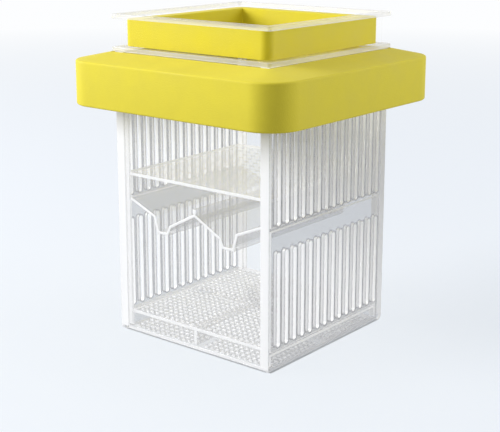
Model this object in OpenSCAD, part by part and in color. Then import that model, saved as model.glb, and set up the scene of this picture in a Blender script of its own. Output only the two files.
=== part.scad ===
// Floating fish breeding box. A clear slotted box with a mesh base hangs in the water from
// a foam float, with a lift-out mesh floor, a double trough funnel and a perforated tray inside.
// Millimetres, Z up. The origin is the middle of the base, and the windows face -Y and +Y.

/* [Box] */
// Outside width of the box, across both grilles
box_w = 100; // [88:1:130]
// Outside depth of the box, across both windows
box_d = 100; // [88:1:130]
// Height of the box walls
box_h = 149; // [140:1:190]
// Thickness of the slotted grilles
grille_t = 2; // [1.6:0.1:3]
// Thickness of the plain windows
window_t = 1.8; // [1.4:0.1:3]
// How far a window channel reaches in from its grille
channel_w = 3.2; // [2.4:0.1:4.5]
// Thickness of the channel's lip in front of a window
lip_t = 1.1; // [0.8:0.1:2]
// Thickness of the channel's rib behind a window
rib_t = 1.4; // [1:0.1:2.5]
// Rounding of the grilles' lower corners
foot_r = 2.5; // [1:0.5:6]
// How far the ledges reach in under the floor and the funnel
ledge_w = 1.8; // [1.2:0.1:2.6]
// Height of a ledge strip
ledge_h = 1.8; // [1.2:0.1:3]

/* [Slots] */
// Width of a slot
slot_w = 2.7; // [2:0.1:3.4]
// Distance from one slot to the next
slot_pitch = 6.5; // [5.5:0.1:9]
// Least bare strip between the slots and the box's upright edges
slot_margin = 6; // [5:0.5:12]
// Bare strip between the floor and the lower row
slot_foot_gap = 0.7; // [0.5:0.1:4]
// Height of the underside of the band between the rows
band_z = 60; // [50:1:62]
// Height of the band between the rows
band_h = 13; // [11:0.5:18]
// Bare strip between the upper row and the float's rest place
slot_top_gap = 1.5; // [1:0.5:10]

/* [Mesh base] */
// Thickness of the base
base_t = 1.5; // [1.2:0.1:2.5]
// Bare border of the base
base_border = 2.5; // [2:0.5:6]

/* [Mesh floor] */
// Height of the floor's upper face
floor_z = 11.3; // [9:0.1:16]
// Thickness of the floor
floor_t = 1.8; // [1.4:0.1:3]
// Width of a mesh opening in the floor and the base
mesh_hole = 2.4; // [1.6:0.1:2.8]
// Distance from one mesh opening to the next
mesh_pitch = 3.6; // [3.4:0.1:5]
// Bare border of the floor
floor_border = 3.5; // [2.5:0.5:7]
// Width of the bare cross between the mesh fields of the floor and the base
cross_w = 6; // [4:0.5:10]
// Thickness of the webs under the cross
web_t = 2; // [1.4:0.1:3]
// Gap between the webs and the mesh base
web_lift = 0.5; // [0.3:0.1:2]
// Diameter of the lifting knob
knob_d = 11; // [8:0.5:16]
// Height of the lifting knob
knob_h = 10; // [6:0.5:12]
// Rounding of the knob's rim
knob_r = 1.5; // [0.5:0.5:3]

/* [Funnel] */
// Thickness of the funnel's walls
funnel_t = 1.5; // [1.1:0.1:2]
// Height of the top of the funnel's side flanges
flange_z = 84.3; // [80:0.5:90]
// Height of the funnel's seats above the base
seat_z = 72; // [70:0.5:73]
// Width of the flat seats
seat_w = 2; // [1.6:0.1:3]
// Distance of each spout's middle from the middle of the box
spout_x = 22; // [18:0.5:25]
// Outside width of a spout at its foot
spout_w = 7.6; // [7:0.1:9]
// How far a spout flares out on each side
spout_flare = 2.2; // [1.5:0.1:3]
// Height of the spouts' underside
spout_z = 56.5; // [53:0.5:58]
// Height where the outer slopes meet the spouts
outer_break_z = 64.7; // [62:0.1:67]
// Height where the inner slopes meet the spouts
inner_break_z = 61; // [60:0.1:63]
// Height of the ridge's underside
ridge_z = 69.5; // [66:0.5:71]
// Height of the top of the ridge's bead
bead_z = 73.5; // [73:0.5:78]
// Width of the ridge's bead
bead_w = 2.4; // [1.6:0.1:4]
// Width of the slit in each spout
slit_w = 4.6; // [4.4:0.1:5]
// Closed length at each end of a slit
slit_end = 6; // [3:0.5:15]

/* [Tray] */
// Thickness of the perforated tray
tray_t = 1.6; // [1.2:0.1:3]
// Diameter of the tray's holes
tray_hole_d = 2.4; // [1.6:0.1:4]
// Distance between holes along a row
tray_pitch = 6.1; // [5:0.1:9]
// Distance between staggered rows
tray_row_pitch = 6.6; // [5:0.1:9]
// Bare border of the tray
tray_border = 4; // [3:0.5:8]

/* [Collar] */
// Height of the neck between its two flanges
neck_h = 14.3; // [10:0.1:30]
// How far the neck stands in from the box's outside
neck_inset = 1.8; // [1.2:0.1:3]
// Thickness of the neck's walls
neck_t = 1.2; // [1:0.1:2]
// Rounding of the neck's corners
neck_r = 2; // [1.6:0.1:4]
// Thickness of both flanges
rim_t = 2.2; // [1.4:0.1:4]
// How far the flanges reach out past the box
rim_out = 1.4; // [1:0.1:6]
// How far the lower flange reaches in under the liner
shelf_w = 3; // [2:0.5:6]
// Depth of the spigot inside the box
spigot_h = 8; // [5:0.5:12]
// Thickness of the spigot's walls
spigot_t = 1.5; // [1.2:0.1:2.5]

/* [Foam] */
// How far the float reaches out past the box on each side
float_margin = 19; // [16:0.5:30]
// Thickness of the float
float_h = 23; // [18:0.5:26]
// How far the float sits below the collar's lower flange
float_drop = 3.8; // [0.5:0.1:8]
// Rounding of the float's upright corners
float_corner_r = 17; // [10:0.5:18]
// Rounding of the float's upper edge
float_edge_r = 1.5; // [1:0.5:8]
// Rounding of the float's lower edge
float_foot_r = 1; // [0.5:0.5:4]
// Thickness of the liner's walls
liner_t = 7.5; // [5:0.5:12]
// How far the liner's top stays below the rim
liner_drop = 2.5; // [1:0.5:5]
// Rounding of the liner's outer corners
liner_corner_r = 3; // [1:0.5:12]
// Rounding of the liner's inner corners
liner_inner_r = 2; // [1:0.5:4]

/* [Clearances] */
// Gap round a window's edge in its channel
slip_gap = 0.1; // [0.05:0.05:0.3]
// Gap between a lift-out piece and the walls
play = 0.4; // [0.3:0.1:0.8]
// Gap between two pieces that rest on each other
seat_gap = 0.3; // [0.2:0.05:0.5]
// Gap between a foam piece and the plastic that it grips
foam_gap = 0.3; // [0.2:0.05:0.6]

/* [Hidden] */
$fn = 48;
// Least rounding of an inner corner, and how far a cutter reaches past what it cuts
least_r = 0.3;
over = 1;

// Clear space inside the walls
inner_w = box_w - 2 * grille_t;
window_y = box_d / 2 - lip_t - slip_gap - window_t;
inner_d = 2 * window_y;
rib_y = window_y - slip_gap - rib_t;

// Lift-out pieces, with a notch at each corner that clears the window channels
insert_w = inner_w - 2 * play;
insert_d = inner_d - 2 * play;
notch_x = inner_w / 2 - channel_w - play;
notch_y = rib_y - play;

// Heights of the collar and the foam
collar_z = box_h + seat_gap;
neck_z = collar_z + rim_t;
rim_z = neck_z + neck_h;
top_z = rim_z + rim_t;
float_top_z = collar_z - float_drop;
float_z = float_top_z - float_h;
spigot_z = collar_z - spigot_h;

// Clear colours and the foam's yellow
clear = [0.86, 0.89, 0.93, 0.45];
clear_deep = [0.78, 0.82, 0.88, 0.6];
foam = [0.91, 0.85, 0.25];

// How many copies of a hole fit in a span, first to last
function fit_count(span, size, pitch) = floor((span - size) / pitch) + 1;
// Places of n copies, centred on zero
function centred(n, pitch) = [for (i = [0:n - 1]) (i - (n - 1) / 2) * pitch];

module rounded_rect(w, d, r) {
    square([w - 2 * r, d], center = true);
    square([w, d - 2 * r], center = true);
    for (x = [-1, 1], y = [-1, 1]) {
        translate([x * (w / 2 - r), y * (d / 2 - r)]) circle(r);
    }
}

module rounded_frame(w, d, r, t) {
    difference() {
        rounded_rect(w, d, r);
        rounded_rect(w - 2 * t, d - 2 * t, max(r - t, least_r));
    }
}

// The four corners of a lift-out piece that are cut away
module corner_notches() {
    for (x = [-1, 1], y = [-1, 1]) {
        translate([x * box_w / 2, y * box_d / 2]) {
            square([box_w - 2 * notch_x, box_d - 2 * notch_y], center = true);
        }
    }
}

// Plate outline of a lift-out piece
module notched_rect() {
    difference() {
        square([insert_w, insert_d], center = true);
        corner_notches();
    }
}

// ---- Box walls ----

module slot(length) {
    translate([-slot_w / 2, slot_w / 2]) square([slot_w, length - slot_w]);
    for (z = [slot_w / 2, length - slot_w / 2]) {
        translate([0, z]) circle(d = slot_w);
    }
}

module slot_row(z, length) {
    count = fit_count(box_d - 2 * slot_margin, slot_w, slot_pitch);
    for (y = centred(count, slot_pitch)) {
        translate([y, z]) slot(length);
    }
}

module grille_outline() {
    translate([-box_d / 2, foot_r]) square([box_d, box_h - foot_r]);
    translate([foot_r - box_d / 2, 0]) square([box_d - 2 * foot_r, box_h]);
    for (y = [-1, 1]) {
        translate([y * (box_d / 2 - foot_r), foot_r]) circle(foot_r);
    }
}

module grille_sheet() {
    lower_z = floor_z + slot_foot_gap;
    upper_z = band_z + band_h;
    difference() {
        grille_outline();
        slot_row(lower_z, band_z - lower_z);
        slot_row(upper_z, float_z - slot_top_gap - upper_z);
    }
}

// Lip and rib that hold one upright edge of a window, on the inner face of a grille
module window_channel() {
    translate([-channel_w, box_d / 2 - lip_t, foot_r]) cube([channel_w, lip_t, box_h - foot_r]);
    translate([-channel_w, rib_y, foot_r]) cube([channel_w, rib_t, spigot_z - play - foot_r]);
}

module ledge(z) {
    translate([-ledge_w, -rib_y, z - ledge_h]) cube([ledge_w, 2 * rib_y, ledge_h]);
}

module grille() {
    color(clear_deep) translate([inner_w / 2, 0, 0]) {
        rotate([90, 0, 90]) linear_extrude(grille_t) grille_sheet();
        window_channel();
        mirror([0, 1, 0]) window_channel();
        ledge(floor_z - floor_t - seat_gap);
        ledge(seat_z - seat_gap);
    }
}

module right_grille() {
    grille();
}

module left_grille() {
    mirror([1, 0, 0]) grille();
}

module window() {
    color(clear) translate([slip_gap - inner_w / 2, window_y, 0]) cube([inner_w - 2 * slip_gap, window_t, box_h]);
}

module front_window() {
    mirror([0, 1, 0]) window();
}

module back_window() {
    window();
}

// ---- Mesh base ----

module mesh_field(w, d) {
    for (x = centred(fit_count(w, mesh_hole, mesh_pitch), mesh_pitch)) {
        for (y = centred(fit_count(d, mesh_hole, mesh_pitch), mesh_pitch)) {
            translate([x, y]) square(mesh_hole, center = true);
        }
    }
}

// Four fields of mesh round a bare cross, in a plate of this size
module mesh_fields(w, d, border) {
    field_w = (w - cross_w) / 2 - border;
    field_d = (d - cross_w) / 2 - border;
    for (x = [-1, 1], y = [-1, 1]) {
        translate([x * (cross_w + field_w) / 2, y * (cross_w + field_d) / 2]) mesh_field(field_w, field_d);
    }
}

module mesh_base() {
    base_w = inner_w - 2 * slip_gap;
    base_d = inner_d - 2 * slip_gap;
    color(clear) linear_extrude(base_t) difference() {
        square([base_w, base_d], center = true);
        mesh_fields(base_w, base_d, base_border);
    }
}

// ---- Mesh floor ----

module floor_sheet() {
    difference() {
        notched_rect();
        mesh_fields(insert_w, insert_d, floor_border);
    }
}

module knob_profile() {
    square([knob_d / 2 - knob_r, knob_h]);
    square([knob_d / 2, knob_h - knob_r]);
    translate([knob_d / 2 - knob_r, knob_h - knob_r]) circle(knob_r);
}

module mesh_floor() {
    web_z = base_t + web_lift;
    web_h = floor_z - floor_t - web_z;
    web_x = inner_w - 2 * (ledge_w + play);
    color(clear) {
        translate([0, 0, floor_z - floor_t]) linear_extrude(floor_t) floor_sheet();
        translate([-web_x / 2, -web_t / 2, web_z]) cube([web_x, web_t, web_h]);
        translate([-web_t / 2, -insert_d / 2, web_z]) cube([web_t, insert_d, web_h]);
        translate([0, 0, floor_z]) rotate_extrude() knob_profile();
    }
}

// ---- Double trough funnel ----

function unit(v) = v / norm(v);
function left_normal(a, b) = let (u = unit(b - a)) [-u[1], u[0]];
function mitre(a, b, c, t) =
    let (n1 = left_normal(a, b), n2 = left_normal(b, c)) b + t * (n1 + n2) / (1 + n1 * n2);

// Underside of one half, from the ridge out to the top of the side flange
half_underside = [
    [spout_x - spout_w / 2 - spout_flare, inner_break_z],
    [spout_x - spout_w / 2, spout_z],
    [spout_x + spout_w / 2, spout_z],
    [spout_x + spout_w / 2 + spout_flare, outer_break_z],
    [insert_w / 2 - seat_w, seat_z],
    [insert_w / 2, seat_z],
    [insert_w / 2, flange_z]
];
underside = concat(
    [for (i = [len(half_underside) - 1:-1:0]) [-half_underside[i][0], half_underside[i][1]]],
    [[0, ridge_z]],
    half_underside
);
last = len(underside) - 1;
upperside = concat(
    [underside[0] + [funnel_t, 0]],
    [for (i = [1:last - 1]) mitre(underside[i - 1], underside[i], underside[i + 1], funnel_t)],
    [underside[last] - [funnel_t, 0]]
);

module funnel_profile() {
    polygon(concat(underside, [for (i = [last:-1:0]) upperside[i]]));
    translate([-bead_w / 2, ridge_z + funnel_t]) square([bead_w, bead_z - ridge_z - funnel_t]);
}

module spout_slits() {
    for (x = [-1, 1]) {
        translate([x * spout_x, 0]) square([slit_w, insert_d - 2 * slit_end], center = true);
    }
}

module funnel() {
    color(clear) difference() {
        rotate([90, 0, 0]) linear_extrude(insert_d, center = true) funnel_profile();
        translate([0, 0, spout_z - over]) linear_extrude(funnel_t + 2 * over) spout_slits();
        linear_extrude(top_z) corner_notches();
    }
}

// ---- Perforated tray ----

module tray_sheet() {
    count = fit_count(insert_w - 2 * tray_border, tray_hole_d, tray_pitch);
    rows = fit_count(insert_d - 2 * tray_border, tray_hole_d, tray_row_pitch);
    row_places = centred(rows, tray_row_pitch);
    difference() {
        notched_rect();
        for (row = [0:rows - 1]) {
            for (x = centred(count - row % 2, tray_pitch)) {
                translate([x, row_places[row]]) circle(d = tray_hole_d, $fn = 24);
            }
        }
    }
}

module perforated_tray() {
    color(clear) translate([0, 0, flange_z + seat_gap]) linear_extrude(tray_t) tray_sheet();
}

// ---- Collar ----

neck_w = box_w - 2 * neck_inset;
neck_d = box_d - 2 * neck_inset;
flange_w = box_w + 2 * rim_out;
flange_d = box_d + 2 * rim_out;

module collar() {
    shelf = rim_out + neck_inset + neck_t + shelf_w;
    rim = rim_out + neck_inset + neck_t;
    spigot_w = inner_w - 2 * seat_gap;
    spigot_d = inner_d - 2 * seat_gap;
    color(clear) {
        translate([0, 0, spigot_z]) linear_extrude(spigot_h) rounded_frame(spigot_w, spigot_d, neck_r, spigot_t);
        translate([0, 0, collar_z]) linear_extrude(rim_t) rounded_frame(flange_w, flange_d, neck_r, shelf);
        translate([0, 0, neck_z]) linear_extrude(neck_h) rounded_frame(neck_w, neck_d, neck_r, neck_t);
        translate([0, 0, rim_z]) linear_extrude(rim_t) rounded_frame(flange_w, flange_d, neck_r, rim);
    }
}

// ---- Foam pieces ----

module foam_liner() {
    outer_w = neck_w - 2 * (neck_t + foam_gap);
    outer_d = neck_d - 2 * (neck_t + foam_gap);
    foot_z = neck_z + seat_gap;
    color(foam) translate([0, 0, foot_z]) linear_extrude(top_z - liner_drop - foot_z) difference() {
        rounded_rect(outer_w, outer_d, liner_corner_r);
        rounded_rect(outer_w - 2 * liner_t, outer_d - 2 * liner_t, liner_inner_r);
    }
}

// Section of the float's outer part, as wide as its corner rounding
module float_section() {
    square([float_corner_r - float_edge_r, float_h]);
    translate([0, float_foot_r]) square([float_corner_r, float_h - float_edge_r - float_foot_r]);
    square([float_corner_r - float_foot_r, float_h - float_edge_r]);
    translate([float_corner_r - float_edge_r, float_h - float_edge_r]) circle(float_edge_r);
    translate([float_corner_r - float_foot_r, float_foot_r]) circle(float_foot_r);
}

module float_side(half, length) {
    translate([0, half - float_corner_r, 0]) rotate([90, 0, 90]) {
        linear_extrude(length, center = true) float_section();
    }
}

module foam_float() {
    half_w = box_w / 2 + float_margin;
    half_d = box_d / 2 + float_margin;
    core_x = half_w - float_corner_r;
    core_y = half_d - float_corner_r;
    color(foam) translate([0, 0, float_z]) difference() {
        union() {
            translate([-core_x, -core_y, 0]) cube([2 * core_x, 2 * core_y, float_h]);
            for (turn = [0, 180]) {
                rotate(turn) float_side(half_d, 2 * core_x);
                rotate(turn + 90) float_side(half_w, 2 * core_y);
            }
            for (x = [0, 1], y = [0, 1]) {
                mirror([x, 0, 0]) mirror([0, y, 0]) translate([core_x, core_y, 0]) {
                    rotate_extrude(angle = 90) float_section();
                }
            }
        }
        translate([0, 0, -over]) linear_extrude(float_h + 2 * over) {
            square([box_w + 2 * foam_gap, box_d + 2 * foam_gap], center = true);
        }
    }
}

front_window();
back_window();
left_grille();
right_grille();
mesh_base();
mesh_floor();
funnel();
perforated_tray();
collar();
foam_liner();
foam_float();
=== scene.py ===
import math

import bmesh
import bpy
from mathutils import Matrix, Vector


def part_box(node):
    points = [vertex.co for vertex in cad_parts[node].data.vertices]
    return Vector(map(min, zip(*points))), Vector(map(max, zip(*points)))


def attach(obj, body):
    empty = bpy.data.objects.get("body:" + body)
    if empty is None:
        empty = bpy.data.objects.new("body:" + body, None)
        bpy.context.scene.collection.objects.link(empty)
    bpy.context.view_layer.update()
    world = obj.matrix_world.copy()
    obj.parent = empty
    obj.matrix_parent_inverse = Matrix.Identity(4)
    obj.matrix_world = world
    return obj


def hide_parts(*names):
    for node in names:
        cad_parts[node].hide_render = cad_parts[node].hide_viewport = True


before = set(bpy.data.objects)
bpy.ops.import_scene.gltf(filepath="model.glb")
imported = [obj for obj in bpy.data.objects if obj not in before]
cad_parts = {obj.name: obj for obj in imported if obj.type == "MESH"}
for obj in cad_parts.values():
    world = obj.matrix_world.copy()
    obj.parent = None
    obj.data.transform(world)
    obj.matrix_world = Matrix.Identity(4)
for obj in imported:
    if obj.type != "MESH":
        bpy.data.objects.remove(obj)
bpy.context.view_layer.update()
MM = 0.001


# ---- Front and back windows ----
# Two plain sheets of clear plastic, cut to size, with lightly broken edges.
# Each was slid down into the channels of the two grilles, which hold it at both sides.

WINDOW_EDGE = 0.25 * MM
CLEAR_IOR = 1.49
SLANT_FROM = 0.2
SLANT_TO = 0.95
SHADE = 0.04
HAZE_SCALE = 30.0
HAZE_FROM = 0.48
HAZE_TO = 0.72
POLISHED = 0.04
HAZED = 0.14
CUT_HAZE = 0.3
HAIRLINES = 0.1
HAIRLINE_FROM = 0.66
HAIRLINE_TO = 0.72
HAIRLINE_TURN = (0.5, 0.3, 0.9)
HAIRLINE_STRETCH = (60.0, 60.0, 3200.0)
EDGE_LIMIT = 0.6
EDGE_SEGMENTS = 2
SHARP_FROM = math.radians(40)
FLAT_WITHIN = math.radians(1)
WELD = 0.002 * MM
CLEAR_WALLS = 64
ACROSS = Vector((1, 0, 0))
ALONG = Vector((0, 1, 0))
UP = Vector((0, 0, 1))


def shader_group(name, inputs, outputs):
    """An empty shader node group with its sockets, and its own input and output nodes."""
    group = bpy.data.node_groups.new(name, "ShaderNodeTree")
    for label, kind, value in inputs:
        socket = group.interface.new_socket(label, in_out="INPUT", socket_type=kind)
        socket.default_value = value
    for label, kind in outputs:
        group.interface.new_socket(label, in_out="OUTPUT", socket_type=kind)
    return group, group.nodes.new("NodeGroupInput"), group.nodes.new("NodeGroupOutput")


def noise(nodes, links, vector, scale, detail=3.0, roughness=0.5):
    """A noise texture on the given coordinates."""
    node = nodes.new("ShaderNodeTexNoise")
    node.inputs["Detail"].default_value = detail
    node.inputs["Roughness"].default_value = roughness
    if isinstance(scale, bpy.types.NodeSocket):
        links.new(scale, node.inputs["Scale"])
    else:
        node.inputs["Scale"].default_value = scale
    links.new(vector, node.inputs["Vector"])
    return node.outputs["Fac"]


def spread(nodes, links, value, low, high, to_low=0.0, to_high=1.0):
    """Maps a value from one range to another, with the ends held."""
    node = nodes.new("ShaderNodeMapRange")
    for socket, amount in zip(("From Min", "From Max", "To Min", "To Max"), (low, high, to_low, to_high)):
        if isinstance(amount, bpy.types.NodeSocket):
            links.new(amount, node.inputs[socket])
        else:
            node.inputs[socket].default_value = amount
    links.new(value, node.inputs["Value"])
    return node.outputs["Result"]


def make_handling_marks():
    """Haze and hairlines that handling leaves on clear plastic, as a roughness and a mask."""
    group, given, result = shader_group(
        "handling_marks",
        [("Haze scale", "NodeSocketFloat", HAZE_SCALE), ("Polished", "NodeSocketFloat", POLISHED),
         ("Hazed", "NodeSocketFloat", HAZED), ("Hairlines", "NodeSocketFloat", HAIRLINES)],
        [("Roughness", "NodeSocketFloat"), ("Mask", "NodeSocketFloat")],
    )
    nodes, links = group.nodes, group.links
    place = nodes.new("ShaderNodeTexCoord").outputs["Object"]
    haze = noise(nodes, links, place, given.outputs["Haze scale"], detail=4.0)
    haze = spread(nodes, links, haze, HAZE_FROM, HAZE_TO)
    stretch = nodes.new("ShaderNodeMapping")
    stretch.inputs["Rotation"].default_value = HAIRLINE_TURN
    stretch.inputs["Scale"].default_value = HAIRLINE_STRETCH
    links.new(place, stretch.inputs["Vector"])
    lines = noise(nodes, links, stretch.outputs["Vector"], 1.0, detail=1.0)
    lines = spread(nodes, links, lines, HAIRLINE_FROM, HAIRLINE_TO, 0.0, given.outputs["Hairlines"])
    worn = spread(nodes, links, haze, 0.0, 1.0, given.outputs["Polished"], given.outputs["Hazed"])
    total = nodes.new("ShaderNodeMath")
    total.operation = "ADD"
    links.new(worn, total.inputs[0])
    links.new(lines, total.inputs[1])
    links.new(total.outputs["Value"], result.inputs["Roughness"])
    links.new(haze, result.inputs["Mask"])
    return group


HANDLING_MARKS = make_handling_marks()


def clear_plastic(name, clean, hazed, face_on, grazing, haze=HAZED, rim_shading=None):
    """Clear plastic, which shows little face on and more where it is seen at a slant.

    Rim shading is a group that masks a painted shade, with the shade's colour and how much it shows.
    """
    material = bpy.data.materials.new(name)
    material.use_nodes = True
    nodes, links = material.node_tree.nodes, material.node_tree.links
    shader = nodes["Principled BSDF"]
    marks = nodes.new("ShaderNodeGroup")
    marks.node_tree = HANDLING_MARKS
    marks.inputs["Hazed"].default_value = haze
    tint = nodes.new("ShaderNodeMix")
    tint.data_type = "RGBA"
    tint.inputs["A"].default_value = (*clean, 1)
    tint.inputs["B"].default_value = (*hazed, 1)
    links.new(marks.outputs["Mask"], tint.inputs["Factor"])
    colour = tint.outputs["Result"]
    links.new(marks.outputs["Roughness"], shader.inputs["Roughness"])
    shader.inputs["IOR"].default_value = CLEAR_IOR
    slant = nodes.new("ShaderNodeLayerWeight")
    slant.inputs["Blend"].default_value = 0.5
    seen = spread(nodes, links, slant.outputs["Facing"], SLANT_FROM, SLANT_TO, face_on, grazing)
    # Painted shade: where the rim mask is high, the plastic turns darker and less clear.
    if rim_shading is not None:
        rim_shade_group, rim_shade_colour, rim_shade_alpha = rim_shading
        rim_shade = nodes.new("ShaderNodeGroup")
        rim_shade.node_tree = rim_shade_group
        painted_rim_shade = nodes.new("ShaderNodeMix")
        painted_rim_shade.data_type = "RGBA"
        painted_rim_shade.inputs["B"].default_value = (*rim_shade_colour, 1)
        links.new(rim_shade.outputs["Mask"], painted_rim_shade.inputs["Factor"])
        links.new(colour, painted_rim_shade.inputs["A"])
        colour = painted_rim_shade.outputs["Result"]
        seen = spread(nodes, links, rim_shade.outputs["Mask"], 0.0, 1.0, seen, rim_shade_alpha)
    links.new(colour, shader.inputs["Base Color"])
    rays = nodes.new("ShaderNodeLightPath")
    unseen = nodes.new("ShaderNodeMath")
    unseen.operation = "MAXIMUM"
    links.new(rays.outputs["Is Shadow Ray"], unseen.inputs[0])
    links.new(rays.outputs["Is Diffuse Ray"], unseen.inputs[1])
    shade = spread(nodes, links, unseen.outputs["Value"], 0.0, 1.0, 1.0, SHADE)
    alpha = nodes.new("ShaderNodeMath")
    alpha.operation = "MULTIPLY"
    links.new(seen, alpha.inputs[0])
    links.new(shade, alpha.inputs[1])
    links.new(alpha.outputs["Value"], shader.inputs["Alpha"])
    return material


def add_edges(obj, edge_haze_and_highlight, along, lowest=-1.0, highest=1.0):
    """Gives a sheet's cut or moulded edges the near-white edge plastic: a little cut haze, and mostly a
    painted highlight.

    They are the faces that turn from the sheet's normal and end at a height between the two given.
    """
    mesh = obj.data
    mesh.materials.append(edge_haze_and_highlight)
    for face in mesh.polygons:
        top = max(mesh.vertices[i].co.z for i in face.vertices)
        if abs(face.normal.dot(along)) < EDGE_LIMIT and lowest < top < highest:
            face.material_index = len(mesh.materials) - 1


def finished(obj):
    """Turns live modifiers into one plain mesh."""
    bpy.context.view_layer.update()
    seen = obj.evaluated_get(bpy.context.evaluated_depsgraph_get())
    mesh = bpy.data.meshes.new_from_object(seen)
    obj.modifiers.clear()
    obj.data = mesh
    return obj


def new_piece(name, bm, material):
    """A new object from a bmesh, smooth-shaded and with its material."""
    mesh = bpy.data.meshes.new(name)
    bm.to_mesh(mesh)
    bm.free()
    mesh.materials.append(material)
    mesh.shade_smooth()
    obj = bpy.data.objects.new(name, mesh)
    bpy.context.scene.collection.objects.link(obj)
    return obj


def break_edges(obj, width):
    """Rounds every sharp edge a little, as a mould or a cutter leaves it."""
    bevel = obj.modifiers.new("broken_edges", "BEVEL")
    bevel.width = width
    bevel.segments = EDGE_SEGMENTS
    bevel.limit_method = "ANGLE"
    bevel.angle_limit = SHARP_FROM
    bevel.use_clamp_overlap = False
    bevel.harden_normals = True
    bevel.miter_outer = "MITER_ARC"
    return obj


def softened(node, name, material, width):
    """A copy of a CAD node with its flat faces rejoined and its edges rounded."""
    bm = bmesh.new()
    bm.from_mesh(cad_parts[node].data)
    bmesh.ops.remove_doubles(bm, verts=bm.verts, dist=WELD)
    bmesh.ops.dissolve_limit(bm, angle_limit=FLAT_WITHIN, verts=bm.verts, edges=bm.edges)
    return finished(break_edges(new_piece(name, bm, material), width))


def fit(piece, node, body):
    """The piece stands for a CAD node, which is hidden, and moves with its body."""
    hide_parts(node)
    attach(piece, body)


# Many clear walls lie behind one another, so light has to pass through more of them than usual.
bpy.context.scene.cycles.transparent_max_bounces = CLEAR_WALLS
window_plastic = clear_plastic(
    "window_plastic", (0.80, 0.81, 0.83), (0.86, 0.87, 0.89), face_on=0.02, grazing=0.35
)
# Near-white and almost opaque: a painted highlight for the light that clear edges catch and carry, with a
# little cut haze.
edge_haze_and_highlight = clear_plastic(
    "edge_haze_and_highlight", (0.96, 0.965, 0.985), (0.94, 0.945, 0.965), face_on=0.93, grazing=0.95, haze=CUT_HAZE
)
for side in ("front", "back"):
    window = softened(side + "_window", side + "_window_sheet", window_plastic, WINDOW_EDGE)
    add_edges(window, edge_haze_and_highlight, ALONG)
    fit(window, side + "_window", "box")


# ---- Left and right grilles ----
# Moulded clear sides with two rows of upright slots and a bare band between the rows.
# Channels along their upright edges take the windows, and two ledges carry the floor and funnel.

GRILLE_T = 2.0 * MM
SLOT_W = 2.7 * MM
SLOT_LENGTH = 48.0 * MM
SLOT_PITCH = 6.5 * MM
SLOT_ROW_PITCH = 61.0 * MM
SLOT_COUNT = 14
SLOT_FOOT_Z = 12.0 * MM
SLOT_MIDDLE_Z = SLOT_FOOT_Z + (SLOT_LENGTH + SLOT_ROW_PITCH) / 2
HOLE_STEPS = 6
RIM_W = 1.0 * MM
GRILLE_FOOT_R = 2.5 * MM
FOOT_STEPS = 6
LIP_T = 1.1 * MM
RIB_Y = 45.5 * MM
RIB_T = 1.4 * MM
RIB_TOP_Z = 140.9 * MM
LEDGE_REACH = 1.8 * MM
LEDGE_H = 1.8 * MM
LEDGE_TOPS = (9.2 * MM, 71.7 * MM)
MOULDED_EDGE = 0.15 * MM


def link_maths(tree, operation, first, second=None):
    """A Math node on two values or sockets, in a geometry or a shader tree."""
    node = tree.nodes.new("ShaderNodeMath")
    node.operation = operation
    for socket, value in zip(node.inputs, (first, second)):
        if isinstance(value, bpy.types.NodeSocket):
            tree.links.new(value, socket)
        elif value is not None:
            socket.default_value = value
    return node.outputs["Value"]


def grid_of_points(tree, columns, rows, pitch_x, pitch_y, stagger=None):
    """Points in centred rows, where stagger moves odd rows by half a pitch and drops their last."""
    nodes, links = tree.nodes, tree.links
    index = nodes.new("GeometryNodeInputIndex").outputs["Index"]
    column = link_maths(tree, "MODULO", index, columns)
    row = link_maths(tree, "FLOOR", link_maths(tree, "DIVIDE", link_maths(tree, "ADD", index, 0.5), columns))
    middle_x = link_maths(tree, "MULTIPLY", link_maths(tree, "SUBTRACT", columns, 1.0), 0.5)
    middle_y = link_maths(tree, "MULTIPLY", link_maths(tree, "SUBTRACT", rows, 1.0), 0.5)
    shifted = link_maths(tree, "SUBTRACT", column, middle_x)
    if stagger is not None:
        odd = link_maths(tree, "MULTIPLY", link_maths(tree, "MODULO", row, 2.0), stagger)
        shifted = link_maths(tree, "ADD", shifted, link_maths(tree, "MULTIPLY", odd, 0.5))
    place = nodes.new("ShaderNodeCombineXYZ")
    links.new(link_maths(tree, "MULTIPLY", shifted, pitch_x), place.inputs["X"])
    links.new(
        link_maths(tree, "MULTIPLY", link_maths(tree, "SUBTRACT", row, middle_y), pitch_y), place.inputs["Y"]
    )
    points = nodes.new("GeometryNodePoints")
    links.new(link_maths(tree, "MULTIPLY", columns, rows), points.inputs["Count"])
    links.new(place.outputs["Vector"], points.inputs["Position"])
    if stagger is None:
        return points.outputs["Points"]
    last = link_maths(tree, "GREATER_THAN", column, link_maths(tree, "SUBTRACT", columns, 1.5))
    drop = nodes.new("GeometryNodeDeleteGeometry")
    links.new(points.outputs["Points"], drop.inputs["Geometry"])
    links.new(link_maths(tree, "MULTIPLY", last, odd), drop.inputs["Selection"])
    return drop.outputs["Geometry"]


def copies_on(tree, points, shape):
    """One copy of a shape on each point."""
    node = tree.nodes.new("GeometryNodeInstanceOnPoints")
    tree.links.new(points, node.inputs["Points"])
    tree.links.new(shape, node.inputs["Instance"])
    return node.outputs["Instances"]


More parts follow.
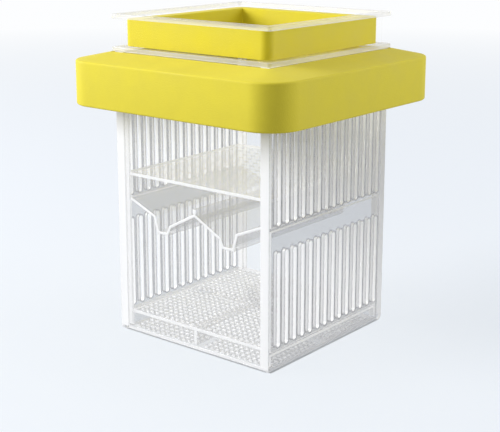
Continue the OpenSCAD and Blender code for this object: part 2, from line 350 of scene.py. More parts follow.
def make_perforated_sheet():
    """A tree that fills an outline, cuts fields of rounded holes in it and gives it its thickness."""
    tree = bpy.data.node_groups.new("perforated_sheet", "GeometryNodeTree")
    tree.interface.new_socket("Outline", in_out="INPUT", socket_type="NodeSocketGeometry")
    for label in ("Thickness", "Hole width", "Hole length", "Hole rounding", "Column pitch", "Row pitch",
                  "Field pitch across", "Field pitch along", "Pattern across", "Pattern along", "Stagger"):
        tree.interface.new_socket(label, in_out="INPUT", socket_type="NodeSocketFloat")
    for label in ("Columns", "Rows", "Fields", "Rounding steps"):
        tree.interface.new_socket(label, in_out="INPUT", socket_type="NodeSocketInt")
    tree.interface.new_socket("Material", in_out="INPUT", socket_type="NodeSocketMaterial")
    tree.interface.new_socket("Sheet", in_out="OUTPUT", socket_type="NodeSocketGeometry")
    nodes, links = tree.nodes, tree.links
    given = nodes.new("NodeGroupInput").outputs
    result = nodes.new("NodeGroupOutput")

    hole = nodes.new("GeometryNodeCurvePrimitiveQuadrilateral")
    links.new(given["Hole width"], hole.inputs["Width"])
    links.new(given["Hole length"], hole.inputs["Height"])
    rounded = nodes.new("GeometryNodeFilletCurve")
    rounded.mode = "POLY"
    links.new(hole.outputs["Curve"], rounded.inputs["Curve"])
    links.new(given["Rounding steps"], rounded.inputs["Count"])
    links.new(given["Hole rounding"], rounded.inputs["Radius"])

    places = grid_of_points(
        tree, given["Columns"], given["Rows"], given["Column pitch"], given["Row pitch"], given["Stagger"]
    )
    fields = grid_of_points(
        tree, given["Fields"], given["Fields"], given["Field pitch across"], given["Field pitch along"]
    )
    pattern = copies_on(tree, fields, copies_on(tree, places, rounded.outputs["Curve"]))
    offset = nodes.new("ShaderNodeCombineXYZ")
    links.new(given["Pattern across"], offset.inputs["X"])
    links.new(given["Pattern along"], offset.inputs["Y"])
    moved = nodes.new("GeometryNodeTransform")
    links.new(pattern, moved.inputs["Geometry"])
    links.new(offset.outputs["Vector"], moved.inputs["Translation"])

    edge = nodes.new("GeometryNodeMeshToCurve")
    links.new(given["Outline"], edge.inputs["Mesh"])
    curves = nodes.new("GeometryNodeJoinGeometry")
    links.new(moved.outputs["Geometry"], curves.inputs["Geometry"])
    links.new(edge.outputs["Curve"], curves.inputs["Geometry"])
    loops = nodes.new("GeometryNodeRealizeInstances")
    links.new(curves.outputs["Geometry"], loops.inputs["Geometry"])
    face = nodes.new("GeometryNodeFillCurve")
    face.mode = "NGONS"
    links.new(loops.outputs["Geometry"], face.inputs["Curve"])

    rise = nodes.new("ShaderNodeCombineXYZ")
    links.new(given["Thickness"], rise.inputs["Z"])
    raised = nodes.new("GeometryNodeExtrudeMesh")
    raised.inputs["Individual"].default_value = False
    links.new(face.outputs["Mesh"], raised.inputs["Mesh"])
    links.new(rise.outputs["Vector"], raised.inputs["Offset"])
    under = nodes.new("GeometryNodeFlipFaces")
    links.new(face.outputs["Mesh"], under.inputs["Mesh"])
    both = nodes.new("GeometryNodeJoinGeometry")
    links.new(raised.outputs["Mesh"], both.inputs["Geometry"])
    links.new(under.outputs["Mesh"], both.inputs["Geometry"])
    welded = nodes.new("GeometryNodeMergeByDistance")
    welded.inputs["Distance"].default_value = WELD
    links.new(both.outputs["Geometry"], welded.inputs["Geometry"])
    solid = nodes.new("GeometryNodeRealizeInstances")
    links.new(welded.outputs["Geometry"], solid.inputs["Geometry"])
    painted = nodes.new("GeometryNodeSetMaterial")
    links.new(solid.outputs["Geometry"], painted.inputs["Geometry"])
    links.new(given["Material"], painted.inputs["Material"])
    links.new(painted.outputs["Geometry"], result.inputs["Sheet"])
    return tree


PERFORATED_SHEET = make_perforated_sheet()


def outline_loop(name, points):
    """An object that holds one closed loop of edges in the XY plane."""
    mesh = bpy.data.meshes.new(name)
    count = len(points)
    mesh.from_pydata([(x, y, 0) for x, y in points], [(i, (i + 1) % count) for i in range(count)], [])
    obj = bpy.data.objects.new(name, mesh)
    bpy.context.scene.collection.objects.link(obj)
    return obj


def perforated(name, outline, material, **sizes):
    """A flat perforated sheet that lies on the XY plane."""
    obj = outline_loop(name, outline)
    maker = obj.modifiers.new("perforated_sheet", "NODES")
    maker.node_group = PERFORATED_SHEET
    values = {"Stagger": 0.0, "Fields": 1, "Rounding steps": HOLE_STEPS, "Material": material}
    values.update({label.replace("_", " ").capitalize(): value for label, value in sizes.items()})
    for item in PERFORATED_SHEET.interface.items_tree:
        if item.in_out == "INPUT" and item.name in values:
            maker[item.identifier] = values[item.name]
    return finished(obj)


def add_block(bm, low, high):
    """A box between two corners."""
    corners = [(x, y, z) for x in (low[0], high[0]) for y in (low[1], high[1]) for z in (low[2], high[2])]
    verts = [bm.verts.new(corner) for corner in corners]
    for side in ((0, 1, 3, 2), (4, 6, 7, 5), (0, 4, 5, 1), (2, 3, 7, 6), (0, 2, 6, 4), (1, 5, 7, 3)):
        bm.faces.new([verts[i] for i in side])


def joined(sheet, bm, material, width):
    """Fuses added solids to a sheet, and rounds the edges of the whole."""
    added = new_piece(sheet.name + "_added", bm, material)
    union = sheet.modifiers.new("fused", "BOOLEAN")
    union.operation = "UNION"
    union.solver = "EXACT"
    union.use_self = True
    union.object = added
    finished(sheet)
    bpy.data.objects.remove(added)
    whole = bmesh.new()
    whole.from_mesh(sheet.data)
    bmesh.ops.remove_doubles(whole, verts=whole.verts, dist=WELD)
    bmesh.ops.dissolve_limit(whole, angle_limit=FLAT_WITHIN, verts=whole.verts, edges=whole.edges)
    bmesh.ops.recalc_face_normals(whole, faces=whole.faces)
    whole.to_mesh(sheet.data)
    whole.free()
    sheet.data.materials.clear()
    sheet.data.materials.append(material)
    for face in sheet.data.polygons:
        face.material_index = 0
    sheet.data.shade_smooth()
    return finished(break_edges(sheet, width))


def arc(centre_x, centre_y, radius, start, end, steps):
    """Points along an arc, in degrees."""
    turns = [math.radians(start + (end - start) * i / steps) for i in range(steps + 1)]
    return [(centre_x + radius * math.cos(t), centre_y + radius * math.sin(t)) for t in turns]


def make_slot_rim_shade():
    """A mask of the strip round each slot, where painted shade stands in for the light that clear plastic
    turns aside.
    """
    group, given, result = shader_group(
        "slot_rim_painted_shade",
        [("Slot width", "NodeSocketFloat", SLOT_W), ("Slot length", "NodeSocketFloat", SLOT_LENGTH),
         ("Slot pitch", "NodeSocketFloat", SLOT_PITCH), ("Row pitch", "NodeSocketFloat", SLOT_ROW_PITCH),
         ("Middle height", "NodeSocketFloat", SLOT_MIDDLE_Z), ("Slotted half", "NodeSocketFloat", RIB_Y),
         ("Rim width", "NodeSocketFloat", RIM_W)],
        [("Mask", "NodeSocketFloat")],
    )
    nodes, links = group.nodes, group.links
    place = nodes.new("ShaderNodeSeparateXYZ")
    links.new(nodes.new("ShaderNodeTexCoord").outputs["Object"], place.inputs["Vector"])
    value = given.outputs
    half_pitch = link_maths(group, "MULTIPLY", value["Slot pitch"], 0.5)
    shifted = link_maths(group, "ADD", place.outputs["Y"], half_pitch)
    along = link_maths(group, "PINGPONG", shifted, half_pitch)
    height = link_maths(group, "SUBTRACT", place.outputs["Z"], value["Middle height"])
    half_rows = link_maths(group, "MULTIPLY", value["Row pitch"], 0.5)
    height = link_maths(group, "SUBTRACT", link_maths(group, "ABSOLUTE", height), half_rows)
    straight = link_maths(group, "SUBTRACT", value["Slot length"], value["Slot width"])
    half_straight = link_maths(group, "MULTIPLY", straight, 0.5)
    height = link_maths(group, "SUBTRACT", link_maths(group, "ABSOLUTE", height), half_straight)
    height = link_maths(group, "MAXIMUM", height, 0.0)
    along = link_maths(group, "MULTIPLY", along, along)
    height = link_maths(group, "MULTIPLY", height, height)
    away = link_maths(group, "SQRT", link_maths(group, "ADD", along, height))
    away = link_maths(group, "SUBTRACT", away, link_maths(group, "MULTIPLY", value["Slot width"], 0.5))
    dark_until = link_maths(group, "MULTIPLY", value["Rim width"], 0.5)
    rim_shade = spread(nodes, links, away, dark_until, value["Rim width"], 1.0, 0.0)
    side = link_maths(group, "ABSOLUTE", place.outputs["Y"])
    slotted = link_maths(group, "LESS_THAN", side, value["Slotted half"])
    links.new(link_maths(group, "MULTIPLY", rim_shade, slotted), result.inputs["Mask"])
    return group


SLOT_RIM_SHADE = make_slot_rim_shade()
# The grille's slots get a painted shade round their rims, for the light that the clear plastic turns aside.
grille_plastic = clear_plastic(
    "grille_plastic", (0.43, 0.435, 0.46), (0.50, 0.505, 0.53), face_on=0.22, grazing=0.42,
    rim_shading=(SLOT_RIM_SHADE, (0.34, 0.345, 0.37), 0.62),
)
grille_low, grille_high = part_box("right_grille")
half_y = grille_high.y
grille_outline = (
    arc(-half_y + GRILLE_FOOT_R, GRILLE_FOOT_R, GRILLE_FOOT_R, 180, 270, FOOT_STEPS)
    + arc(half_y - GRILLE_FOOT_R, GRILLE_FOOT_R, GRILLE_FOOT_R, 270, 360, FOOT_STEPS)
    + [(half_y, grille_high.z), (-half_y, grille_high.z)]
)
# The sheet is drawn flat, then stood up so that it faces +X.
stand_up = Matrix(((0, 0, 1, grille_high.x - GRILLE_T), (1, 0, 0, 0), (0, 1, 0, 0), (0, 0, 0, 1)))
wall = grille_high.x - GRILLE_T / 2
ledge_x = grille_high.x - GRILLE_T - LEDGE_REACH
ledge_y = RIB_Y + RIB_T / 2
for side, mirror in (("right", 1), ("left", -1)):
    grille = perforated(
        side + "_slotted_side", grille_outline, grille_plastic, thickness=GRILLE_T, hole_width=SLOT_W,
        hole_length=SLOT_LENGTH, hole_rounding=SLOT_W / 2, columns=SLOT_COUNT, rows=2,
        column_pitch=SLOT_PITCH, row_pitch=SLOT_ROW_PITCH, pattern_along=SLOT_MIDDLE_Z,
    )
    grille.data.transform(stand_up)
    fittings = bmesh.new()
    for y in (-1, 1):
        lip = sorted((y * half_y, y * (half_y - LIP_T)))
        rib = sorted((y * RIB_Y, y * (RIB_Y + RIB_T)))
        add_block(fittings, (grille_low.x, lip[0], GRILLE_FOOT_R), (wall, lip[1], grille_high.z))
        add_block(fittings, (grille_low.x, rib[0], GRILLE_FOOT_R), (wall, rib[1], RIB_TOP_Z))
    for top in LEDGE_TOPS:
        add_block(fittings, (ledge_x, -ledge_y, top - LEDGE_H), (wall, ledge_y, top))
    joined(grille, fittings, grille_plastic, MOULDED_EDGE)
    if mirror < 0:
        grille.data.transform(Matrix.Scale(-1, 4, (1, 0, 0)))
        grille.data.flip_normals()
    add_edges(grille, edge_haze_and_highlight, ACROSS)
    fit(grille, side + "_grille", "box")


# ---- Mesh base ----
# A clear moulded plate that closes the box between the feet of its four walls.
# Four fields of square mesh lie round a bare cross, so that water and dirt pass through.

BASE_BORDER = 2.5 * MM
MESH_HOLE = 2.4 * MM
MESH_PITCH = 3.6 * MM
MESH_ROUNDING = 0.3 * MM
MESH_STEPS = 2
MESH_COUNT = 11
CROSS_W = 6.0 * MM


def mesh_plate(name, outline, half_x, half_y, border, columns, thickness, material):
    """A plate with four fields of square holes round a cross."""
    return perforated(
        name, outline, material, thickness=thickness, hole_width=MESH_HOLE, hole_length=MESH_HOLE,
        hole_rounding=MESH_ROUNDING, rounding_steps=MESH_STEPS, columns=columns, rows=MESH_COUNT,
        column_pitch=MESH_PITCH, row_pitch=MESH_PITCH, fields=2,
        field_pitch_across=half_x - border + CROSS_W / 2, field_pitch_along=half_y - border + CROSS_W / 2,
    )


insert_plastic = clear_plastic(
    "insert_plastic", (0.66, 0.66, 0.68), (0.70, 0.70, 0.72), face_on=0.14, grazing=0.34
)
base_low, base_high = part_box("mesh_base")
base_outline = [
    (base_high.x, base_high.y), (base_low.x, base_high.y), (base_low.x, base_low.y), (base_high.x, base_low.y)
]
mesh_base = mesh_plate(
    "mesh_base_plate", base_outline, base_high.x, base_high.y, BASE_BORDER, MESH_COUNT + 1,
    base_high.z - base_low.z, insert_plastic,
)
mesh_base.data.transform(Matrix.Translation((0, 0, base_low.z)))
mesh_base.data.shade_smooth()
finished(break_edges(mesh_base, MOULDED_EDGE))
add_edges(mesh_base, edge_haze_and_highlight, UP)
fit(mesh_base, "mesh_base", "box")


# ---- Mesh floor ----
# One clear moulding: four fields of square mesh round a bare cross, with webs under the cross.
# It lies on the lower ledges, and a round knob at its middle lifts it out.

FLOOR_T = 1.8 * MM
FLOOR_BORDER = 3.5 * MM
FLOOR_TOP_Z = 11.3 * MM
WEB_T = 2.0 * MM
WEB_HALF = 45.8 * MM
NOTCH_X = 44.4 * MM
NOTCH_Y = 45.1 * MM
KNOB_R = 5.5 * MM
KNOB_ROUNDING = 1.5 * MM
KNOB_STEPS = 40
CROWN_STEPS = 4


def notched_outline(half_x, half_y):
    """A rectangle with its corners cut away, so that it clears the window channels."""
    quarter = [(half_x, NOTCH_Y), (NOTCH_X, NOTCH_Y), (NOTCH_X, half_y)]
    points = quarter + [(-x, y) for x, y in reversed(quarter)]
    return points + [(-x, -y) for x, y in points]


def add_turned(bm, profile, steps):
    """A solid turned about the Z axis, from points (radius, height) going upwards."""
    rings = []
    for radius, z in profile:
        turns = [2 * math.pi * i / steps for i in range(steps)]
        rings.append([bm.verts.new((radius * math.cos(t), radius * math.sin(t), z)) for t in turns])
    for lower, upper in zip(rings, rings[1:]):
        for i in range(steps):
            j = (i + 1) % steps
            bm.faces.new((lower[i], lower[j], upper[j], upper[i]))
    bm.faces.new(list(reversed(rings[0])))
    bm.faces.new(rings[-1])


floor_low, floor_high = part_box("mesh_floor")
mesh_floor = mesh_plate(
    "mesh_floor_plate", notched_outline(floor_high.x, floor_high.y), floor_high.x, floor_high.y, FLOOR_BORDER,
    MESH_COUNT, FLOOR_T, insert_plastic,
)
mesh_floor.data.transform(Matrix.Translation((0, 0, FLOOR_TOP_Z - FLOOR_T)))
webs = bmesh.new()
inside = FLOOR_TOP_Z - FLOOR_T / 2
add_block(webs, (-WEB_HALF, -WEB_T / 2, floor_low.z), (WEB_HALF, WEB_T / 2, inside))
add_block(webs, (-WEB_T / 2, floor_low.y, floor_low.z), (WEB_T / 2, floor_high.y, inside))
crown = arc(KNOB_R - KNOB_ROUNDING, floor_high.z - KNOB_ROUNDING, KNOB_ROUNDING, 0, 90, CROWN_STEPS)
add_turned(webs, [(KNOB_R, inside)] + crown, KNOB_STEPS)
joined(mesh_floor, webs, insert_plastic, MOULDED_EDGE)
add_edges(mesh_floor, edge_haze_and_highlight, UP, FLOOR_TOP_Z - FLOOR_T / 2, FLOOR_TOP_Z + MOULDED_EDGE)
fit(mesh_floor, "mesh_floor", "floor")


# ---- Funnel ----
# A clear double trough with a beaded ridge, whose two slit spouts let the fry drop through.
# It hangs by its two outer seats on the upper ledges, and its side flanges carry the tray.

FUNNEL_EDGE = 0.2 * MM

funnel_plastic = clear_plastic(
    "funnel_plastic", (0.62, 0.625, 0.64), (0.68, 0.685, 0.70), face_on=0.16, grazing=0.45
)
funnel = softened("funnel", "funnel_trough", funnel_plastic, FUNNEL_EDGE)
# Its end walls take the edge plastic, a painted highlight.
funnel.data.materials.append(edge_haze_and_highlight)
for face in funnel.data.polygons:
    if abs(face.normal.y) > EDGE_LIMIT:
        face.material_index = 1
fit(funnel, "funnel", "funnel")


# ---- Perforated tray ----
# A flat clear plate with staggered round holes that fry fall through and the mother can't.
# It lies loose on the funnel's side flanges.

TRAY_HOLE = 2.4 * MM
TRAY_PITCH = 6.1 * MM
TRAY_ROW_PITCH = 6.6 * MM
TRAY_COLUMNS = 14
TRAY_ROWS = 13

tray_plastic = clear_plastic(
    "tray_plastic", (0.95, 0.955, 0.975), (0.96, 0.965, 0.985), face_on=0.16, grazing=0.34
)
tray_low, tray_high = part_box("perforated_tray")
tray = perforated(
    "tray_plate", notched_outline(tray_high.x, tray_high.y), tray_plastic, thickness=tray_high.z - tray_low.z,
    hole_width=TRAY_HOLE, hole_length=TRAY_HOLE, hole_rounding=TRAY_HOLE / 2, columns=TRAY_COLUMNS,
    rows=TRAY_ROWS, column_pitch=TRAY_PITCH, row_pitch=TRAY_ROW_PITCH, stagger=1.0,
)
tray.data.transform(Matrix.Translation((0, 0, tray_low.z)))
tray.data.shade_smooth()
finished(break_edges(tray, MOULDED_EDGE))
# Its outer edge faces take the edge plastic, a painted highlight.
tray.data.materials.append(edge_haze_and_highlight)
for face in tray.data.polygons:
    outside = max(abs(face.center.x), abs(face.center.y)) > NOTCH_X - MOULDED_EDGE
    if outside and abs(face.normal.z) < EDGE_LIMIT:
        face.material_index = len(tray.data.materials) - 1
fit(tray, "perforated_tray", "tray")


# ---- Collar ----
# One clear moulding: a spigot that plugs into the box, a flange that sits on it, and a neck
# that ends in a flat rim. A shelf inside, level with the lower flange, carries the foam liner.

FLANGE_T = 2.2 * MM
FLANGE_OUT = 1.4 * MM
NECK_INSET = 1.8 * MM
NECK_T = 1.2 * MM
NECK_R = 2.0 * MM
SHELF_W = 3.0 * MM
SPIGOT_HALF = (47.7 * MM, 46.7 * MM)
SPIGOT_T = 1.5 * MM
SPIGOT_H = 8.0 * MM
COLLAR_EDGE = 0.3 * MM
NECK_OUTSIDE = 1.0 * MM
SHARP = 0.3 * MM
CORNER_STEPS = 8


def rounded_ring(half_x, half_y, radius, z, steps):
    """Points round a rounded rectangle at one height."""
    points = []
    for turn, (sx, sy) in enumerate(((1, 1), (-1, 1), (-1, -1), (1, -1))):
        corner = (sx * (half_x - radius), sy * (half_y - radius))
        points += arc(*corner, radius, 90 * turn, 90 * turn + 90, steps)
    return [(x, y, z) for x, y in points]


def ring_solid(rings):
    """A closed ring-shaped solid through rings of points that go round its section."""
    bm = bmesh.new()
    loops = [[bm.verts.new(point) for point in ring] for ring in rings]
    for near, far in zip(loops, loops[1:] + loops[:1]):
        count = len(near)
        for i in range(count):
            j = (i + 1) % count
            bm.faces.new((near[i], near[j], far[j], far[i]))
    bmesh.ops.recalc_face_normals(bm, faces=bm.faces)
    return bm


collar_plastic = clear_plastic(
    "collar_plastic", (0.90, 0.90, 0.91), (0.92, 0.92, 0.93), face_on=0.0, grazing=0.04
)
rim_plastic = clear_plastic(
    "rim_plastic", (0.55, 0.55, 0.61), (0.60, 0.60, 0.66), face_on=0.3, grazing=0.42
)
# Near-white on the flange's and neck's edges: a painted highlight, with a little cut haze.
collar_edge_haze_and_highlight = clear_plastic(
    "collar_edge_haze_and_highlight", (0.94, 0.94, 0.95), (0.92, 0.92, 0.93), face_on=0.42, grazing=0.5, haze=CUT_HAZE
)
collar_low, collar_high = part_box("collar")
flange = collar_high.x
neck = flange - FLANGE_OUT - NECK_INSET
seat_z = collar_low.z + SPIGOT_H
neck_z = seat_z + FLANGE_T
rim_z = collar_high.z - FLANGE_T
plug_x, plug_y = SPIGOT_HALF
collar_rings = [
    (plug_x, plug_y, NECK_R, collar_low.z), (plug_x, plug_y, NECK_R, seat_z),
    (flange, flange, NECK_R, seat_z), (flange, flange, NECK_R, neck_z),
    (neck, neck, NECK_R, neck_z), (neck, neck, NECK_R, rim_z),
    (flange, flange, NECK_R, rim_z), (flange, flange, NECK_R, collar_high.z),
    (neck - NECK_T, neck - NECK_T, NECK_R - NECK_T, collar_high.z),
    (neck - NECK_T, neck - NECK_T, NECK_R - NECK_T, neck_z),
    (neck - NECK_T - SHELF_W, neck - NECK_T - SHELF_W, SHARP, neck_z),
    (neck - NECK_T - SHELF_W, neck - NECK_T - SHELF_W, SHARP, seat_z),
    (plug_x - SPIGOT_T, plug_y - SPIGOT_T, NECK_R - SPIGOT_T, seat_z),
    (plug_x - SPIGOT_T, plug_y - SPIGOT_T, NECK_R - SPIGOT_T, collar_low.z),
]
collar_solid = ring_solid([rounded_ring(*ring, CORNER_STEPS) for ring in collar_rings])
collar = new_piece("collar_moulding", collar_solid, collar_plastic)
finished(break_edges(collar, COLLAR_EDGE))
collar.data.materials.append(rim_plastic)
collar.data.materials.append(collar_edge_haze_and_highlight)
# Rim tops take the rim plastic, and the other faces past the neck take the painted edge highlight.
for face in collar.data.polygons:
    past_neck = max(abs(face.center.x), abs(face.center.y)) > neck + NECK_OUTSIDE
    if past_neck or face.center.z > rim_z + FLANGE_T / 2:
        on_rim = face.center.z > rim_z and abs(face.normal.z) > EDGE_LIMIT
        face.material_index = 1 if on_rim else 2
fit(collar, "collar", "collar")


# ---- Foam liner and foam float ----
# Matt closed-cell foam, cut from sheet, with soft edges. The liner stands on the collar's shelf.
# The float is pushed over the box, grips its walls and sits a little below the collar's flange.

FLOAT_CORNER_R = 17.0 * MM
FLOAT_TOP_R = 1.2 * MM
FLOAT_CLEAR = 0.2 * MM
FLOAT_FOOT_R = 1.0 * MM
FLOAT_HOLE = 50.3 * MM
LINER_T = 7.5 * MM
LINER_CORNER_R = 5.0 * MM
LINER_INNER_R = 0.5 * MM
LINER_EDGE_R = 0.5 * MM
FOAM_STEPS = 16
EDGE_STEPS = 4
FLOAT_TOP_STEPS = 8
FLOAT_TOP_TURN = 78
FOAM_CORNERS = math.radians(30)
MOTTLE_SCALE = 60.0
MOTTLE_FROM = 0.3
MOTTLE_TO = 0.7
MOTTLE_SHARE = 0.8
CELL_SCALE = 1600.0
PIT_FROM = 0.1
PIT_TO = 0.7
FOAM_ROUGHNESS = (0.62, 0.8)
FOAM_SHEEN = 0.1
FOAM_SHEEN_ROUGHNESS = 0.4
FOAM_BUMP = 0.35
FOAM_PIT_DEPTH = 0.12 * MM


def make_foam_cells():
    """Closed-cell foam: a mottled colour mask, a roughness and a height from its small cells."""
    group, given, result = shader_group(
        "foam_cells",
        [("Mottle scale", "NodeSocketFloat", MOTTLE_SCALE), ("Cell scale", "NodeSocketFloat", CELL_SCALE)],
        [("Mask", "NodeSocketFloat"), ("Roughness", "NodeSocketFloat"), ("Height", "NodeSocketFloat")],
    )
    nodes, links = group.nodes, group.links
    place = nodes.new("ShaderNodeTexCoord").outputs["Object"]
    mottle = noise(nodes, links, place, given.outputs["Mottle scale"], detail=5.0, roughness=0.6)
    cells = nodes.new("ShaderNodeTexVoronoi")
    cells.feature = "SMOOTH_F1"
    links.new(place, cells.inputs["Vector"])
    links.new(given.outputs["Cell scale"], cells.inputs["Scale"])
    pits = spread(nodes, links, cells.outputs["Distance"], PIT_FROM, PIT_TO)
    mask = spread(nodes, links, mottle, MOTTLE_FROM, MOTTLE_TO, 0.0, MOTTLE_SHARE)
    mask = link_maths(group, "ADD", mask, link_maths(group, "MULTIPLY", pits, 1 - MOTTLE_SHARE))
    links.new(mask, result.inputs["Mask"])
    roughness = spread(nodes, links, mottle, MOTTLE_FROM, MOTTLE_TO, *FOAM_ROUGHNESS)
    links.new(roughness, result.inputs["Roughness"])
    links.new(pits, result.inputs["Height"])
    return group


FOAM_CELLS = make_foam_cells()


def yellow_foam(name, light, deep):
    """Matt yellow foam with a soft sheen where light grazes it."""
    material = bpy.data.materials.new(name)
    material.use_nodes = True
    nodes, links = material.node_tree.nodes, material.node_tree.links
    shader = nodes["Principled BSDF"]
    cells = nodes.new("ShaderNodeGroup")
    cells.node_tree = FOAM_CELLS
    colour = nodes.new("ShaderNodeMix")
    colour.data_type = "RGBA"
    colour.inputs["A"].default_value = (*deep, 1)
    colour.inputs["B"].default_value = (*light, 1)
    links.new(cells.outputs["Mask"], colour.inputs["Factor"])
    links.new(colour.outputs["Result"], shader.inputs["Base Color"])
    links.new(cells.outputs["Roughness"], shader.inputs["Roughness"])
    shader.inputs["Sheen Weight"].default_value = FOAM_SHEEN
    shader.inputs["Sheen Roughness"].default_value = FOAM_SHEEN_ROUGHNESS
    bump = nodes.new("ShaderNodeBump")
    bump.inputs["Strength"].default_value = FOAM_BUMP
    bump.inputs["Distance"].default_value = FOAM_PIT_DEPTH
    links.new(cells.outputs["Height"], bump.inputs["Height"])
    links.new(bump.outputs["Normal"], shader.inputs["Normal"])
    return material


def edge_arc(half, corner, z, radius, start, end, steps):
    """Rings round a rounded edge: how wide, how rounded at the corners and how high each one is."""
    return [
        (half + out, half + out, max(corner + out, SHARP), height)
        for out, height in arc(0, z, radius, start, end, steps)
    ]


def foam_ring(name, material, rings):
    """A foam ring through the rings of its section, smooth but for its corners."""
    foam = new_piece(name, ring_solid([rounded_ring(*ring, FOAM_STEPS) for ring in rings]), material)
    foam.data.set_sharp_from_angle(angle=FOAM_CORNERS)
    return foam


liner_foam = yellow_foam("liner_foam", light=(0.76, 0.645, 0.014), deep=(0.69, 0.58, 0.009))
liner_low, liner_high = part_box("foam_liner")
bore = liner_high.x - LINER_T
outer_edge = liner_high.x - LINER_EDGE_R
inner_edge = bore + LINER_EDGE_R
edge_z = liner_high.z - LINER_EDGE_R
liner_rings = (
    [(liner_high.x, liner_high.x, LINER_CORNER_R, liner_low.z)]
    + edge_arc(outer_edge, LINER_CORNER_R - LINER_EDGE_R, edge_z, LINER_EDGE_R, 0, 90, EDGE_STEPS)
    + edge_arc(inner_edge, LINER_INNER_R + LINER_EDGE_R, edge_z, LINER_EDGE_R, 90, 180, EDGE_STEPS)
    + [(bore, bore, LINER_INNER_R, liner_low.z)]
)
liner = foam_ring("liner_ring", liner_foam, liner_rings)
fit(liner, "foam_liner", "liner")

float_foam = yellow_foam("float_foam", light=(0.77, 0.66, 0.036), deep=(0.70, 0.595, 0.024))
float_low, float_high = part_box("foam_float")
foot = float_high.x - FLOAT_FOOT_R
foot_z = float_low.z + FLOAT_FOOT_R
brow = float_high.x - FLOAT_TOP_R
brow_z = float_high.z - FLOAT_TOP_R
# The top slopes up from its edge to a low lip beside the collar's flange.
lip = flange + FLOAT_CLEAR
float_rings = (
    edge_arc(foot, FLOAT_CORNER_R - FLOAT_FOOT_R, foot_z, FLOAT_FOOT_R, -90, 0, EDGE_STEPS)
    + edge_arc(
        brow, FLOAT_CORNER_R - FLOAT_TOP_R, brow_z, FLOAT_TOP_R, 0, FLOAT_TOP_TURN, FLOAT_TOP_STEPS
    )
    + [(lip, lip, NECK_R, seat_z - FLOAT_CLEAR), (lip, lip, NECK_R, float_high.z)]
    + [(FLOAT_HOLE, FLOAT_HOLE, SHARP, float_high.z), (FLOAT_HOLE, FLOAT_HOLE, SHARP, float_low.z)]
)
float_ring = foam_ring("float_ring", float_foam, float_rings)
fit(float_ring, "foam_float", "float")


# ---- Floor and surroundings ----
# A pale floor that fades into a pale surround, as in a product photograph.
# Seen directly, in a gloss or through clear plastic, both are almost white.

SURROUND = (0.98, 0.99, 1.0, 1)
NEAR_SURROUND = (0.83, 0.90, 1.0, 1)
AMBIENT = 0.38
FLOOR_COLOUR = (0.42, 0.425, 0.43, 1)
FLOOR_GLOW = 0.52
FLOOR_HALF = 6.0
NEAR = 0.25
FAR = 1.6


def seen_directly(nodes, links):
    """1 for camera, glossy and transmission rays, and 0 for the rays that light things."""
    rays = nodes.new("ShaderNodeLightPath")
    most = rays.outputs["Is Camera Ray"]
    for kind in ("Is Glossy Ray", "Is Transmission Ray"):
        larger = nodes.new("ShaderNodeMath")
        larger.operation = "MAXIMUM"
        links.new(most, larger.inputs[0])
        links.new(rays.outputs[kind], larger.inputs[1])
        most = larger.outputs["Value"]
    return most


floor_paint = bpy.data.materials.new("floor_paint")
floor_paint.use_nodes = True
paint_nodes, paint_links = floor_paint.node_tree.nodes, floor_paint.node_tree.links
paint = paint_nodes["Principled BSDF"]
paint.inputs["Roughness"].default_value = 0.9
paint.inputs["Specular IOR Level"].default_value = 0.0
distance = paint_nodes.new("ShaderNodeVectorMath")
distance.operation = "LENGTH"
paint_links.new(paint_nodes.new("ShaderNodeTexCoord").outputs["Object"], distance.inputs[0])
away = spread(paint_nodes, paint_links, distance.outputs["Value"], NEAR, FAR)
fade = paint_nodes.new("ShaderNodeMix")
fade.data_type = "RGBA"
fade.inputs["A"].default_value = FLOOR_COLOUR
fade.inputs["B"].default_value = (0, 0, 0, 1)
paint_links.new(away, fade.inputs["Factor"])
paint_links.new(fade.outputs["Result"], paint.inputs["Base Color"])
hue = paint_nodes.new("ShaderNodeMix")
hue.data_type = "RGBA"
hue.inputs["A"].default_value = NEAR_SURROUND
hue.inputs["B"].default_value = SURROUND
paint_links.new(away, hue.inputs["Factor"])
paint_links.new(hue.outputs["Result"], paint.inputs["Emission Color"])
direct = seen_directly(paint_nodes, paint_links)
bright = spread(paint_nodes, paint_links, away, 0.0, 1.0, FLOOR_GLOW, 1.0)
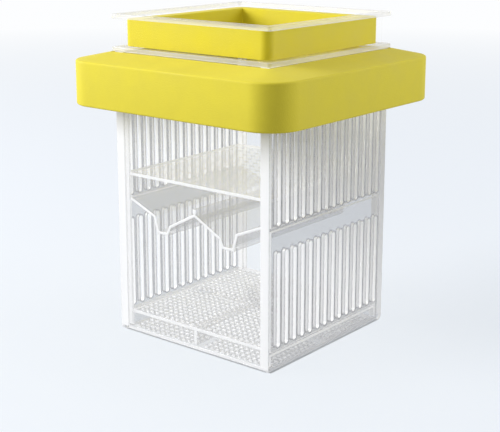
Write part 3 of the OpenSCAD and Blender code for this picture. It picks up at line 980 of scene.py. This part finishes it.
dim = spread(paint_nodes, paint_links, away, 0.0, 1.0, 0.0, AMBIENT)
paint_links.new(
    spread(paint_nodes, paint_links, direct, 0.0, 1.0, dim, bright), paint.inputs["Emission Strength"]
)
ground = bmesh.new()
bmesh.ops.create_grid(ground, x_segments=1, y_segments=1, size=FLOOR_HALF)
studio_floor = new_piece("studio_floor", ground, floor_paint)

world = bpy.data.worlds.new("surround")
bpy.context.scene.world = world
world.use_nodes = True
sky_nodes, sky_links = world.node_tree.nodes, world.node_tree.links
sky = sky_nodes["Background"]
sky.inputs["Color"].default_value = SURROUND
sky_links.new(
    spread(sky_nodes, sky_links, seen_directly(sky_nodes, sky_links), 0.0, 1.0, AMBIENT, 1.0),
    sky.inputs["Strength"],
)


# ---- Lamps ----
# Two wide soft lamps, left and right of the camera, so that the front corner stays darkest,
# and a weaker one above.

LAMP_AIM = Vector((0, 0, 0.1))


def soft_lamp(name, place, width, power):
    """A square area lamp that points at the middle of the box."""
    data = bpy.data.lights.new(name, "AREA")
    data.shape = "SQUARE"
    data.size = width
    data.energy = power
    lamp = bpy.data.objects.new(name, data)
    lamp.location = place
    aim = LAMP_AIM - Vector(place)
    lamp.rotation_euler = aim.to_track_quat("-Z", "Y").to_euler()
    bpy.context.scene.collection.objects.link(lamp)


soft_lamp("left_lamp", (-1.2, -1.1, 0.85), width=1.0, power=36.0)
soft_lamp("right_lamp", (1.1, 0.9, 0.5), width=1.0, power=10.5)
soft_lamp("top_lamp", (0.0, 0.0, 1.8), width=1.2, power=3.0)


# ---- Camera ----
# A long lens a little above the rim, which looks down at the front corner.
# Its small shift keeps the upright edges nearer to parallel.

camera_data = bpy.data.cameras.new("camera")
camera_data.lens = 81.78
camera_data.shift_y = -0.1
camera_data.clip_start = 0.01
camera = bpy.data.objects.new("camera", camera_data)
camera.location = (0.3662, -0.45357, 0.22003)
camera.rotation_euler = (math.radians(77.2), 0, math.radians(39.07))
bpy.context.scene.collection.objects.link(camera)
bpy.context.scene.camera = camera
bpy.context.scene.view_settings.view_transform = "Standard"
